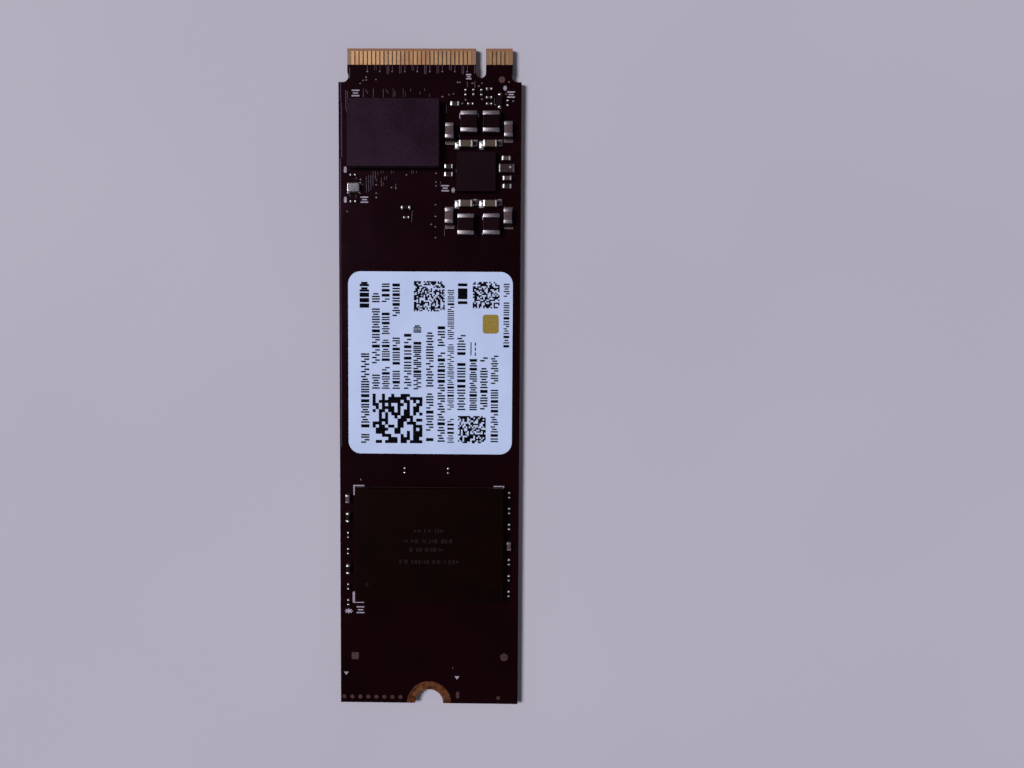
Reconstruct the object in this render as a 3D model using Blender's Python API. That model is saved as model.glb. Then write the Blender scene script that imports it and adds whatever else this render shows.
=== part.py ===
"""Gumstick solid state drive: a single-sided 22 x 80 mm card with a keyed edge connector.

The card lies on its underside. +Y points to the edge connector and +Z out of the component side,
and the origin is the middle of the underside. Sizes are in metres. Places on the card are taken
from its centreline and, along Y, as distances from the tip of the edge connector, its datum.
"""

import math
from collections import namedtuple

import bmesh
import bpy

# Card outline
CARD_WIDTH = 0.022
CARD_LENGTH = 0.080
CARD_THICKNESS = 0.0008

# Edge connector: a narrower tongue with a round relief at each shoulder, and one key notch
TONGUE_WIDTH = 0.01985
TONGUE_LENGTH = 0.004
RELIEF_RADIUS = 0.0007
RELIEF_UNDERCUT = 0.000125
KEY_OFFSET = 0.006125
KEY_WIDTH = 0.0012
KEY_DEPTH = 0.0035
LEAD_IN_LENGTH = 0.0003
LEAD_IN_DEPTH = 0.00012

# Contacts: counted outwards from the key, the underside row half a pitch aside
CONTACT_PITCH = 0.0005
CONTACT_WIDTH = 0.00035
CONTACT_LENGTH = 0.0016
CONTACT_SETBACK = 0.00035
CONTACT_HEIGHT = 0.00004
KEY_TO_CONTACT = 0.001125
CONTACT_SIDE_MARGIN = 0.0006

# Mounting notch and the ring pad round it, on both faces
MOUNT_NOTCH_RADIUS = 0.00175
MOUNT_PAD_RADIUS = 0.00275
MASK_CLEARANCE = 0.00012
MASK_THICKNESS = 0.00003

# Solder joints of the chips: the seat's clearance, the fillet's edge and how far it climbs
SEAT_GAP = 0.00002
FILLET_TOE = 0.00004
FILLET_SHARE = 0.6

# Ball-grid packages
BALL_HEIGHT = 0.0002
BALL_RADIUS = 0.0002
SUBSTRATE_THICKNESS = 0.00022
MOULD_EDGE = 0.00004

CONTROLLER_WIDTH = 0.011
CONTROLLER_LENGTH = 0.008
CONTROLLER_CAP_HEIGHT = 0.00068
CONTROLLER_SIDE_MARGIN = 0.00123
CONTROLLER_FROM_TIP = 0.01023
CONTROLLER_BALL_PITCH = 0.0008

FLASH_WIDTH = 0.018
FLASH_LENGTH = 0.014
FLASH_CAP_HEIGHT = 0.00068
FLASH_OFFSET = 0.00005
FLASH_FROM_TIP = 0.0599
FLASH_BALL_PITCH = 0.001
DIMPLE_RADIUS = 0.00025
DIMPLE_DEPTH = 0.00006
DIMPLE_FROM_SIDE = 0.0014
DIMPLE_FROM_END = 0.0021

# Power chip, right of the controller
POWER_CHIP_SIZE = 0.0047
POWER_CHIP_HEIGHT = 0.00065
POWER_CHIP_GAP = 0.00204
POWER_FROM_TIP = 0.0147

# Label, on the bare card between the power stage and the flash
LABEL_SIDE_MARGIN = 0.001
LABEL_OFFSET = 0.0001
LABEL_LENGTH = 0.0222
LABEL_FROM_TIP = 0.0377
LABEL_THICKNESS = 0.0001
LABEL_CORNER = 0.0015

# Crystal: a metal lid on a ceramic base, below the controller's left end
CRYSTAL_LENGTH = 0.0016
CRYSTAL_WIDTH = 0.0012
CRYSTAL_BASE_HEIGHT = 0.00028
CRYSTAL_LID_HEIGHT = 0.00015
CRYSTAL_LID_MARGIN = 0.0001
CRYSTAL_CORNER = 0.0001
CRYSTAL_INSET = 0.00061
CRYSTAL_GAP = 0.00235

# Two-lead diode
DIODE_LENGTH = 0.0011
DIODE_WIDTH = 0.0007
DIODE_HEIGHT = 0.00045
DIODE_LEAD_WIDTH = 0.0003
DIODE_LEAD_LENGTH = 0.00035
DIODE_LEAD_HEIGHT = 0.00015

# Chip cases: length over the terminals, width, height, terminal length, solder fillet beyond it,
# and whether the long edges are broken
Case = namedtuple("Case", "length width height terminal fillet edge_steps")
CHIP_0201 = Case(0.0006, 0.0003, 0.0003, 0.00016, 0.00008, 0)
CHIP_0402 = Case(0.001, 0.0005, 0.0005, 0.00022, 0.0001, 1)
RESISTOR_0402 = Case(0.001, 0.0005, 0.00035, 0.0002, 0.0001, 1)
OUTPUT_CASE = Case(0.0016, 0.0008, 0.0008, 0.00026, 0.00012, 1)
BULK_CASE = Case(0.0018, 0.001, 0.0009, 0.0004, 0.00012, 1)
INDUCTOR_CASE = Case(0.0025, 0.002, 0.001, 0.00047, 0.0001, 1)
SENSOR_CASE = Case(0.0018, 0.001, 0.0005, 0.00017, 0.00008, 1)
TERMINAL_WRAP = 0.000015
CHIP_EDGE = 0.00003

Finish = namedtuple("Finish", "colour roughness metallic")
SOLDER_MASK = Finish((0.016, 0.008, 0.011), 0.45, 0.0)
MOULDED = Finish((0.03, 0.022, 0.03), 0.55, 0.0)
FLASH_MOULDED = Finish((0.012, 0.008, 0.011), 0.5, 0.0)
LAMINATE = Finish((0.05, 0.05, 0.025), 0.6, 0.0)
CERAMIC_TAN = Finish((0.28, 0.2, 0.14), 0.5, 0.0)
CERAMIC_PINK = Finish((0.3, 0.23, 0.23), 0.5, 0.0)
CERAMIC_DARK = Finish((0.05, 0.04, 0.045), 0.4, 0.0)
COIL_BODY = Finish((0.02, 0.016, 0.02), 0.5, 0.0)
LID_METAL = Finish((0.45, 0.45, 0.46), 0.35, 1.0)
LABEL_STOCK = Finish((0.62, 0.66, 0.85), 0.6, 0.0)

# Placement lists: name, case, place from the group's own datum, whether it stands along Y, finish
Chip = namedtuple("Chip", "name case dx dy turned finish")

# Power stage, from the centre of the power chip
POWER_STAGE = (
    Chip("inductor_1", INDUCTOR_CASE, -0.00087, 0.00583, True, COIL_BODY),
    Chip("inductor_2", INDUCTOR_CASE, 0.0018, 0.00583, True, COIL_BODY),
    Chip("inductor_3", INDUCTOR_CASE, -0.0012, -0.0063, True, COIL_BODY),
    Chip("inductor_4", INDUCTOR_CASE, 0.00187, -0.00626, True, COIL_BODY),
    Chip("bulk_capacitor_1", BULK_CASE, -0.00318, 0.00478, True, CERAMIC_PINK),
    Chip("bulk_capacitor_2", BULK_CASE, 0.00385, 0.00498, True, CERAMIC_PINK),
    Chip("bulk_capacitor_3", BULK_CASE, -0.0032, -0.00525, True, CERAMIC_PINK),
    Chip("bulk_capacitor_4", BULK_CASE, 0.00385, -0.0053, True, CERAMIC_PINK),
    Chip("output_capacitor_1", OUTPUT_CASE, -0.00123, 0.00329, False, CERAMIC_TAN),
    Chip("output_capacitor_2", OUTPUT_CASE, 0.00167, 0.00331, False, CERAMIC_TAN),
    Chip("output_capacitor_3", OUTPUT_CASE, -0.00123, -0.00378, False, CERAMIC_TAN),
    Chip("output_capacitor_4", OUTPUT_CASE, 0.00171, -0.00378, False, CERAMIC_TAN),
    Chip("supply_capacitor_1", CHIP_0402, 0.00359, 0.00163, False, CERAMIC_TAN),
    Chip("current_sensor", SENSOR_CASE, 0.00366, 0.00044, False, CERAMIC_DARK),
    Chip("supply_capacitor_2", CHIP_0402, 0.00372, -0.00073, False, CERAMIC_TAN),
    Chip("sense_resistor", RESISTOR_0402, 0.00372, -0.00165, False, CERAMIC_DARK),
    Chip("feedback_resistor_1", RESISTOR_0402, -0.00331, 0.00069, False, CERAMIC_DARK),
    Chip("feedback_resistor_2", RESISTOR_0402, -0.00331, -0.00026, False, CERAMIC_DARK),
)

# Connector end, from the power chip's centreline and the connector's tip
CONNECTOR_CHIPS = (
    Chip("coupling_capacitor_1", CHIP_0201, -0.00132, -0.00525, True, CERAMIC_TAN),
    Chip("coupling_capacitor_2", CHIP_0201, -0.00037, -0.00523, True, CERAMIC_TAN),
    Chip("coupling_capacitor_3", CHIP_0201, 0.00058, -0.00525, True, CERAMIC_TAN),
    Chip("coupling_capacitor_4", CHIP_0201, 0.00373, -0.0065, True, CERAMIC_TAN),
    Chip("pull_up_resistor_1", CHIP_0201, 0.0015, -0.00483, False, CERAMIC_DARK),
    Chip("pull_up_resistor_2", CHIP_0201, 0.0015, -0.00585, False, CERAMIC_DARK),
    Chip("pull_up_resistor_3", CHIP_0201, 0.00151, -0.0066, False, CERAMIC_DARK),
    Chip("pull_up_resistor_4", CHIP_0201, -0.00072, -0.0066, False, CERAMIC_DARK),
    Chip("series_resistor", RESISTOR_0402, -0.00259, -0.0066, False, CERAMIC_DARK),
)
DIODE_PLACE = (0.00276, -0.0062)

# Crystal's load capacitors, from the crystal's centre
CRYSTAL_CHIPS = (
    Chip("crystal_capacitor_1", CHIP_0201, -0.0001, 0.00153, False, CERAMIC_TAN),
    Chip("crystal_capacitor_2", CHIP_0201, -0.0001, -0.00164, False, CERAMIC_TAN),
)

# Reset pair, from the card's centreline and the connector's tip
RESET_CHIPS = (
    Chip("reset_capacitor", CHIP_0402, -0.00285, -0.01895, False, CERAMIC_TAN),
    Chip("reset_resistor", CHIP_0201, -0.0028, -0.0201, False, CERAMIC_DARK),
)

# Flash capacitors: a column in the strip each side of the flash, top to bottom, from its centre,
# then a pair in the strip above it, from its centreline
LEFT_COLUMN = (
    (CHIP_0402, 0.0055),
    (CHIP_0402, 0.0032),
    (CHIP_0201, 0.001),
    (CHIP_0201, -0.00103),
    (CHIP_0402, -0.00325),
    (CHIP_0201, -0.00543),
    (CHIP_0201, -0.0074),
)
RIGHT_COLUMN = (
    (CHIP_0201, 0.0061),
    (CHIP_0201, 0.00415),
    (CHIP_0201, 0.00217),
    (CHIP_0402, -0.0002),
    (CHIP_0201, -0.0022),
    (CHIP_0201, -0.0042),
    (CHIP_0201, -0.00615),
)
RIGHT_COLUMN_INSET = 0.0002
UPPER_PAIR = (-0.00305, 0.00228)

# Heights and datum lines that the pieces share
TIP_Y = CARD_LENGTH / 2
SHOULDER_Y = TIP_Y - TONGUE_LENGTH
SEAT_Z = CARD_THICKNESS + SEAT_GAP
CONTROLLER_X = -CARD_WIDTH / 2 + CONTROLLER_SIDE_MARGIN + CONTROLLER_WIDTH / 2
CONTROLLER_Y = TIP_Y - CONTROLLER_FROM_TIP
POWER_X = CONTROLLER_X + CONTROLLER_WIDTH / 2 + POWER_CHIP_GAP + POWER_CHIP_SIZE / 2
POWER_Y = TIP_Y - POWER_FROM_TIP
LABEL_Y = TIP_Y - LABEL_FROM_TIP
FLASH_Y = TIP_Y - FLASH_FROM_TIP
OVERSHOOT = 0.001


def clear_scene():
    for old in list(bpy.data.objects):
        bpy.data.objects.remove(old)


def arc(x, y, radius, first, last, steps):
    """Points on a circle about (x, y) from the first to the last angle, in degrees."""
    turn = (last - first) / steps
    angles = [math.radians(first + turn * i) for i in range(steps + 1)]
    return [(x + radius * math.cos(a), y + radius * math.sin(a)) for a in angles]


def polygon(radius, sides):
    return arc(0, 0, radius, 0, 360 - 360 / sides, sides - 1)


def rounded_outline(width, height, radius=0.0, steps=0):
    """A rectangle about the origin, counter-clockwise, its corners rounded in this many steps."""
    x = width / 2 - radius
    y = height / 2 - radius
    corners = ((x, y), (-x, y), (-x, -y), (x, -y))
    if steps == 0:
        return [(math.copysign(width / 2, cx), math.copysign(height / 2, cy)) for cx, cy in corners]
    points = []
    for i, (cx, cy) in enumerate(corners):
        points += arc(cx, cy, radius, 90 * i, 90 * i + 90, steps)
    return points


def loft(bm, rings, closed=False):
    """Skins rings of equally many points, counter-clockwise seen from the last, with a cap at each end.

    A closed loft joins the last ring to the first and has no caps.
    """
    loops = [[bm.verts.new(point) for point in ring] for ring in rings]
    pairs = list(zip(loops, loops[1:]))
    if closed:
        pairs.append((loops[-1], loops[0]))
    for lower, upper in pairs:
        for i, corner in enumerate(lower):
            j = (i + 1) % len(lower)
            bm.faces.new((corner, lower[j], upper[j], upper[i]))
    if not closed:
        bm.faces.new(loops[0][::-1])
        bm.faces.new(loops[-1])


def level_ring(outline, z, x=0.0, y=0.0):
    return [(x + px, y + py, z) for px, py in outline]


def prism(bm, outline, bottom, top):
    loft(bm, [level_ring(outline, bottom), level_ring(outline, top)])


def shade(mesh):
    mesh.shade_smooth()
    mesh.set_sharp_from_angle(angle=math.radians(30))


def add_object(name, bm, finish=None, location=(0, 0, 0)):
    """Turns the bmesh into an object, with a material of its own where it has a finish."""
    mesh = bpy.data.meshes.new(name)
    bm.to_mesh(mesh)
    bm.free()
    shade(mesh)
    made = bpy.data.objects.new(name, mesh)
    made.location = location
    bpy.context.scene.collection.objects.link(made)
    if finish:
        material = bpy.data.materials.new(name)
        material.use_nodes = True
        shader = material.node_tree.nodes["Principled BSDF"]
        shader.inputs["Base Color"].default_value = (*finish.colour, 1)
        shader.inputs["Roughness"].default_value = finish.roughness
        shader.inputs["Metallic"].default_value = finish.metallic
        mesh.materials.append(material)
    return made


def combine(target, bm, operation):
    """Joins the bmesh to the target or cuts it out of it, in the target's own space."""
    tool = add_object("tool", bm, location=target.location)
    boolean = target.modifiers.new(operation.title(), "BOOLEAN")
    boolean.operation = operation
    boolean.solver = "EXACT"
    boolean.object = tool
    graph = bpy.context.evaluated_depsgraph_get()
    target.data = bpy.data.meshes.new_from_object(target.evaluated_get(graph))
    target.modifiers.clear()
    bpy.data.objects.remove(tool)
    shade(target.data)


# The card

def card_outline():
    """The card seen from above, counter-clockwise from its lower left corner."""
    side = CARD_WIDTH / 2
    tongue = TONGUE_WIDTH / 2
    relief_x = tongue - RELIEF_UNDERCUT + RELIEF_RADIUS
    relief_y = SHOULDER_Y + RELIEF_RADIUS
    meets = math.degrees(math.acos((relief_x - tongue) / RELIEF_RADIUS))
    key_y = TIP_Y - KEY_DEPTH + KEY_WIDTH / 2
    points = [(-side, -TIP_Y)]
    points += arc(0, -TIP_Y, MOUNT_NOTCH_RADIUS, 180, 0, 28)
    points += [(side, -TIP_Y), (side, SHOULDER_Y)]
    points += arc(relief_x, relief_y, RELIEF_RADIUS, 270, 180 - meets, 10)
    points += [(tongue, TIP_Y), (KEY_OFFSET + KEY_WIDTH / 2, TIP_Y)]
    points += arc(KEY_OFFSET, key_y, KEY_WIDTH / 2, 0, -180, 14)
    points += [(KEY_OFFSET - KEY_WIDTH / 2, TIP_Y), (-tongue, TIP_Y)]
    points += arc(-relief_x, relief_y, RELIEF_RADIUS, meets, -90, 10)
    points += [(-side, SHOULDER_Y)]
    return points


def contact_centres(before_key, after_key):
    """X of each contact in a row, given the distance from the key to the nearest one on each side."""
    room = TONGUE_WIDTH / 2 - CONTACT_SIDE_MARGIN
    left = int((room + KEY_OFFSET - before_key) / CONTACT_PITCH) + 1
    right = int((room - KEY_OFFSET - after_key) / CONTACT_PITCH) + 1
    centres = [KEY_OFFSET - before_key - CONTACT_PITCH * i for i in reversed(range(left))]
    return centres + [KEY_OFFSET + after_key + CONTACT_PITCH * i for i in range(right)]


def contact_window(centres):
    """Outline of the mask-free window on the tongue, with a finger left standing for each contact."""
    start = TIP_Y - CONTACT_SETBACK - CONTACT_LENGTH
    end = TIP_Y - CONTACT_SETBACK
    side = TONGUE_WIDTH / 2 + OVERSHOOT
    half = CONTACT_WIDTH / 2
    points = [(side, start), (side, TIP_Y + OVERSHOOT), (-side, TIP_Y + OVERSHOOT), (-side, start)]
    for x in centres:
        points += [(x - half, start), (x - half, end), (x + half, end), (x + half, start)]
    return points


def cut_contacts(card, surface, outwards, before_key, after_key):
    """Sinks the laminate between and beside the contacts of one face by the contacts' height."""
    inside = surface - CONTACT_HEIGHT * outwards
    outside = surface + OVERSHOOT * outwards
    bm = bmesh.new()
    window = contact_window(contact_centres(before_key, after_key))
    prism(bm, window, min(inside, outside), max(inside, outside))
    combine(card, bm, "DIFFERENCE")


def cut_lead_in(card, surface, outwards):
    """Bevels the tongue's tip where it meets this face."""
    rise = LEAD_IN_DEPTH * outwards
    profile = [
        (TIP_Y - 2 * LEAD_IN_LENGTH, surface + rise),
        (TIP_Y + LEAD_IN_LENGTH, surface + rise),
        (TIP_Y + LEAD_IN_LENGTH, surface - 2 * rise),
    ]
    ends = (CARD_WIDTH / 2, -CARD_WIDTH / 2)
    bm = bmesh.new()
    loft(bm, [[(x, y, z) for y, z in profile[::outwards]] for x in ends])
    combine(card, bm, "DIFFERENCE")


def cut_mask_ring(card, surface, outwards):
    """Cuts the narrow ring round the mounting pad where the solder mask stops short of it."""
    inside = surface - MASK_THICKNESS * outwards
    outside = surface + OVERSHOOT * outwards
    low = min(inside, outside)
    high = max(inside, outside)
    outer = MOUNT_PAD_RADIUS + MASK_CLEARANCE
    section = ((MOUNT_PAD_RADIUS, low), (MOUNT_PAD_RADIUS, high), (outer, high), (outer, low))
    rings = [[(r * x, r * y - TIP_Y, z) for r, z in section] for x, y in polygon(1, 48)]
    bm = bmesh.new()
    loft(bm, rings, closed=True)
    combine(card, bm, "DIFFERENCE")


def make_card():
    bm = bmesh.new()
    prism(bm, card_outline(), 0, CARD_THICKNESS)
    card = add_object("circuit_board", bm, SOLDER_MASK)
    far = KEY_TO_CONTACT + CONTACT_PITCH / 2
    cut_contacts(card, CARD_THICKNESS, 1, far, KEY_TO_CONTACT)
    cut_contacts(card, 0, -1, KEY_TO_CONTACT, far)
    for surface, outwards in ((CARD_THICKNESS, 1), (0, -1)):
        cut_lead_in(card, surface, outwards)
        cut_mask_ring(card, surface, outwards)


# Packages

def ball_places(width, length, pitch):
    """Centres of the outer row of a ball grid that fills a package of this size."""
    across = int(width / pitch - 0.5)
    along = int(length / pitch - 0.5)
    left = -pitch * (across - 1) / 2
    low = -pitch * (along - 1) / 2
    places = [(left + pitch * i, sign * low) for i in range(across) for sign in (1, -1)]
    return places + [(sign * left, low + pitch * i) for i in range(1, along - 1) for sign in (1, -1)]


def add_ball(bm, x, y, bottom, top):
    """A six-sided barrel, the flattened shape of a melted solder ball."""
    sizes = ((0.75, bottom), (1.0, (bottom + top) / 2), (0.8, top))
    loft(bm, [level_ring(polygon(BALL_RADIUS * share, 6), z, x, y) for share, z in sizes])


def make_substrate(name, x, y, width, length, pitch):
    """The package's laminate with its outer row of solder balls, which stand on the card."""
    bm = bmesh.new()
    prism(bm, rounded_outline(width, length), BALL_HEIGHT, BALL_HEIGHT + SUBSTRATE_THICKNESS)
    substrate = add_object(name, bm, LAMINATE, (x, y, SEAT_Z))
    bm = bmesh.new()
    for ball_x, ball_y in ball_places(width, length, pitch):
        add_ball(bm, ball_x, ball_y, 0, BALL_HEIGHT + SUBSTRATE_THICKNESS / 2)
    combine(substrate, bm, "UNION")


def make_moulding(name, x, y, bottom, width, length, height, finish):
    """A moulded block whose corners and upper edge are broken by a small bevel."""
    lower = rounded_outline(width, length, MOULD_EDGE, 2)
    upper = rounded_outline(width - 2 * MOULD_EDGE, length - 2 * MOULD_EDGE, MOULD_EDGE, 2)
    bm = bmesh.new()
    loft(bm, [level_ring(lower, 0), level_ring(lower, height - MOULD_EDGE), level_ring(upper, height)])
    return add_object(name, bm, finish, (x, y, bottom))


def make_packages():
    cap_z = SEAT_Z + BALL_HEIGHT + SUBSTRATE_THICKNESS + SEAT_GAP
    place = (CONTROLLER_X, CONTROLLER_Y)
    size = (CONTROLLER_WIDTH, CONTROLLER_LENGTH)
    make_substrate("controller_substrate", *place, *size, CONTROLLER_BALL_PITCH)
    make_moulding("controller_cap", *place, cap_z, *size, CONTROLLER_CAP_HEIGHT, MOULDED)
    place = (FLASH_OFFSET, FLASH_Y)
    size = (FLASH_WIDTH, FLASH_LENGTH)
    make_substrate("flash_substrate", *place, *size, FLASH_BALL_PITCH)
    cap = make_moulding("flash_cap", *place, cap_z, *size, FLASH_CAP_HEIGHT, FLASH_MOULDED)
    dimple = polygon(DIMPLE_RADIUS, 24)
    dimple_x = DIMPLE_FROM_SIDE - FLASH_WIDTH / 2
    dimple_y = DIMPLE_FROM_END - FLASH_LENGTH / 2
    heights = (FLASH_CAP_HEIGHT - DIMPLE_DEPTH, FLASH_CAP_HEIGHT + OVERSHOOT)
    bm = bmesh.new()
    loft(bm, [level_ring(dimple, z, dimple_x, dimple_y) for z in heights])
    combine(cap, bm, "DIFFERENCE")
    size = (POWER_CHIP_SIZE, POWER_CHIP_SIZE, POWER_CHIP_HEIGHT)
    make_moulding("power_chip", POWER_X, POWER_Y, SEAT_Z, *size, MOULDED)


# Chips

def cross_section(along, width, bottom, top, steps):
    """A ring across the chip's length at this place, from the bottom height to the top."""
    radius = min(CHIP_EDGE, 0.4 * (top - bottom))
    outline = rounded_outline(width, top - bottom, radius, steps)
    return [(along, across, (bottom + top) / 2 + up) for across, up in outline]


def place_chip(name, sections, steps, x, y, turned, finish):
    """Mirrors half a chip's sections, listed from its end to its middle, and sets it on the card."""
    half = [cross_section(*section, steps) for section in sections]
    mirrored = [[(-along, across, up) for along, across, up in ring] for ring in half]
    bm = bmesh.new()
    loft(bm, mirrored + half[::-1])
    chip = add_object(name, bm, finish, (x, y, SEAT_Z))
    chip.rotation_euler.z = math.radians(90 if turned else 0)


def make_chip(chip, x, y):
    """A two-terminal chip: a body between wrapped terminals, with a solder fillet at each end."""
    case = chip.case
    end = case.length / 2
    inner = end - case.terminal
    sections = (
        (end + case.fillet, case.width, 0, FILLET_TOE),
        (end, case.width, 0, FILLET_SHARE * case.height),
        (end - CHIP_EDGE, case.width, 0, case.height),
        (inner, case.width, 0, case.height),
        (inner, case.width - 2 * TERMINAL_WRAP, TERMINAL_WRAP, case.height - TERMINAL_WRAP),
    )
    place = (x + chip.dx, y + chip.dy, chip.turned)
    place_chip(chip.name, sections, case.edge_steps, *place, chip.finish)


def make_diode():
    """A moulded body with one flat lead at each end."""
    end = DIODE_LENGTH / 2
    sections = (
        (end + DIODE_LEAD_LENGTH, DIODE_LEAD_WIDTH, 0, DIODE_LEAD_HEIGHT),
        (end, DIODE_LEAD_WIDTH, 0, DIODE_LEAD_HEIGHT),
        (end, DIODE_WIDTH, 0, DIODE_HEIGHT - CHIP_EDGE),
        (end - CHIP_EDGE, DIODE_WIDTH, 0, DIODE_HEIGHT),
    )
    dx, dy = DIODE_PLACE
    place_chip("esd_diode", sections, 1, POWER_X + dx, TIP_Y + dy, True, MOULDED)


def make_crystal():
    x = CONTROLLER_X - CONTROLLER_WIDTH / 2 + CRYSTAL_INSET
    y = CONTROLLER_Y - CONTROLLER_LENGTH / 2 - CRYSTAL_GAP
    margin = 2 * CRYSTAL_LID_MARGIN
    bm = bmesh.new()
    prism(bm, rounded_outline(CRYSTAL_LENGTH, CRYSTAL_WIDTH, CRYSTAL_CORNER, 1), 0, CRYSTAL_BASE_HEIGHT)
    add_object("crystal_base", bm, CERAMIC_DARK, (x, y, SEAT_Z))
    lid = rounded_outline(CRYSTAL_LENGTH - margin, CRYSTAL_WIDTH - margin, CRYSTAL_CORNER, 2)
    bm = bmesh.new()
    prism(bm, lid, 0, CRYSTAL_LID_HEIGHT)
    add_object("crystal_lid", bm, LID_METAL, (x, y, SEAT_Z + CRYSTAL_BASE_HEIGHT + SEAT_GAP))
    for chip in CRYSTAL_CHIPS:
        make_chip(chip, x, y)


def make_flash_capacitors():
    """Capacitors midway between the flash and each side of the card, and two below the label."""
    left_x = (FLASH_OFFSET - FLASH_WIDTH / 2 - CARD_WIDTH / 2) / 2
    right_x = (FLASH_OFFSET + FLASH_WIDTH / 2 + CARD_WIDTH / 2) / 2 - RIGHT_COLUMN_INSET
    strip_y = (LABEL_Y - LABEL_LENGTH / 2 + FLASH_Y + FLASH_LENGTH / 2) / 2
    places = [(case, left_x, FLASH_Y + dy) for case, dy in LEFT_COLUMN]
    places += [(case, right_x, FLASH_Y + dy) for case, dy in RIGHT_COLUMN]
    places += [(CHIP_0201, FLASH_OFFSET + dx, strip_y) for dx in UPPER_PAIR]
    for i, (case, x, y) in enumerate(places, 1):
        make_chip(Chip(f"flash_capacitor_{i:02d}", case, 0, 0, True, CERAMIC_PINK), x, y)


def make_label():
    width = CARD_WIDTH - 2 * LABEL_SIDE_MARGIN
    bm = bmesh.new()
    prism(bm, rounded_outline(width, LABEL_LENGTH, LABEL_CORNER, 8), 0, LABEL_THICKNESS)
    add_object("label", bm, LABEL_STOCK, (LABEL_OFFSET, LABEL_Y, SEAT_Z))


clear_scene()
make_card()
make_packages()
for power_chip in POWER_STAGE:
    make_chip(power_chip, POWER_X, POWER_Y)
for connector_chip in CONNECTOR_CHIPS:
    make_chip(connector_chip, POWER_X, TIP_Y)
make_diode()
make_crystal()
for reset_chip in RESET_CHIPS:
    make_chip(reset_chip, 0, TIP_Y)
make_flash_capacitors()
make_label()
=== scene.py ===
"""Looks of the gumstick solid state drive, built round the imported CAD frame.

Lengths are in millimetres, measured in the frame: X to the right, Y to the edge connector and Z up
from the card's underside. new_piece() turns a finished mesh into metres.
"""

import math
import random
from collections import namedtuple

import bmesh
import bpy
from mathutils import Euler, Matrix, Vector


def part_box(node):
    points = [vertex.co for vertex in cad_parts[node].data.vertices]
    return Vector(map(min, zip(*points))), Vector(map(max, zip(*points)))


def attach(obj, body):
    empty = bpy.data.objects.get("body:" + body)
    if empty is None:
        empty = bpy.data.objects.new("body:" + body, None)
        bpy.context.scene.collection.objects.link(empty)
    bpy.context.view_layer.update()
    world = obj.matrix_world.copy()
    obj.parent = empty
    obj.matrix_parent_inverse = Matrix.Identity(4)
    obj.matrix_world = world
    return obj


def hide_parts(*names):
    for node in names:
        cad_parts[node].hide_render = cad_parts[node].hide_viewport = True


MM = 0.001

# Camera, fitted to the card's outline, key and mounting notch in the photograph; its tilt is in degrees
CAMERA_PLACE = (11.369, 4.236, 94.443)
CAMERA_TILT = (-2.6843, 0.8084, 0.3594)
SENSOR_WIDTH = 36
FOCAL_LENGTH = 27.035
CLIP_START = 1

# Light: a soft window on the upper left, a small lamp opposite that only glints on solder, and a room whose
# colour is given at some heights, 0 for the horizon and 1 for straight overhead
LAMP_DISTANCE = 9000
WINDOW = {"direction": (-0.6, 0.155, 0.785), "size": 3200, "watts": 960}
GLINT = {"direction": (0.3, -0.45, 0.84), "size": 540, "watts": 27.5}
ROOM = ((0.2, (0.45, 0.43, 0.51)), (0.35, (0.21, 0.2, 0.22)), (0.85, (0.06, 0.058, 0.064)))

# The floor lies a little below zero, because the pads and traces of the underside reach there
FLOOR_SIZE = 3000
FLOOR_DROP = 0.03

# Lines and heights that the CAD also has, the widest strip of laminate that is a gap between two contacts,
# and the floor of the flash package's dimple, whose place is taken from the cap's lower left corner
CONTACT_START = 38.05
CONTACT_END = 39.65
CONTACT_HEIGHT = 0.04
WIDEST_GAP = 0.2
RING_CENTRE = Vector((0, -40))
RING_RADIUS = 2.75
BALL_HEIGHT = 0.2
DIMPLE_PLACE = Vector((1.4, 2.1))
DIMPLE_RADIUS = 0.24
DIMPLE_DEPTH = 0.06

# Tests on CAD faces: least height of a flat one's normal, greatest of an upright one's, how near counts as on
# a line or level, and how near two corners are one
FLAT = 0.9
UPRIGHT = 0.1
NEAR = 0.005
MERGED = 0.0005

# Heights of the thin layers above what carries them, and how far they sink into it
COPPER_RISE = 0.008
VIA_RISE = 0.011
RING_VIA_RISE = 0.014
PAD_RISE = 0.016
SOLDER_RISE = 0.03
INK_RISE = 0.01
MARK_RISE = 0.004
SUNK = 0.01
PRINT_SUNK = 0.005

# Sockets of the Mix node that carry colours, and the wave texture's scale at which its stripes lie one apart
MIX_FIRST = 6
MIX_SECOND = 7
MIX_RESULT = 2
WAVE_SCALE = 0.314

# Largest corner as a share of its side, and how far round a dome curves: both short of where points meet
LARGEST_CORNER = 0.499
DOME_CURVE = 84

# Smallest angles of a sharp edge, in degrees, and the weight of large faces in the shading
SHARP = 35
CAD_SHARP = 15
FACE_WEIGHT = 80

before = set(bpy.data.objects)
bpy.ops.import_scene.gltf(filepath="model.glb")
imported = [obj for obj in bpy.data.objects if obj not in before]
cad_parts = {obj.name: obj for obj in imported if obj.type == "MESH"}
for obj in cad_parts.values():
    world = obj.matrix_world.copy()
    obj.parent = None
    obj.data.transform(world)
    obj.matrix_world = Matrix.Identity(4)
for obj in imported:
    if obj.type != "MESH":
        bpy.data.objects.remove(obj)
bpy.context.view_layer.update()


# Node helpers

def set_stops(ramp, stops):
    """Gives a colour ramp these stops, each a position and a colour."""
    elements = ramp.elements
    while len(elements) < len(stops):
        elements.new(0.5)
    for element, (position, colour) in zip(elements, stops):
        element.position = position
        element.color = (*colour, 1)


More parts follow.
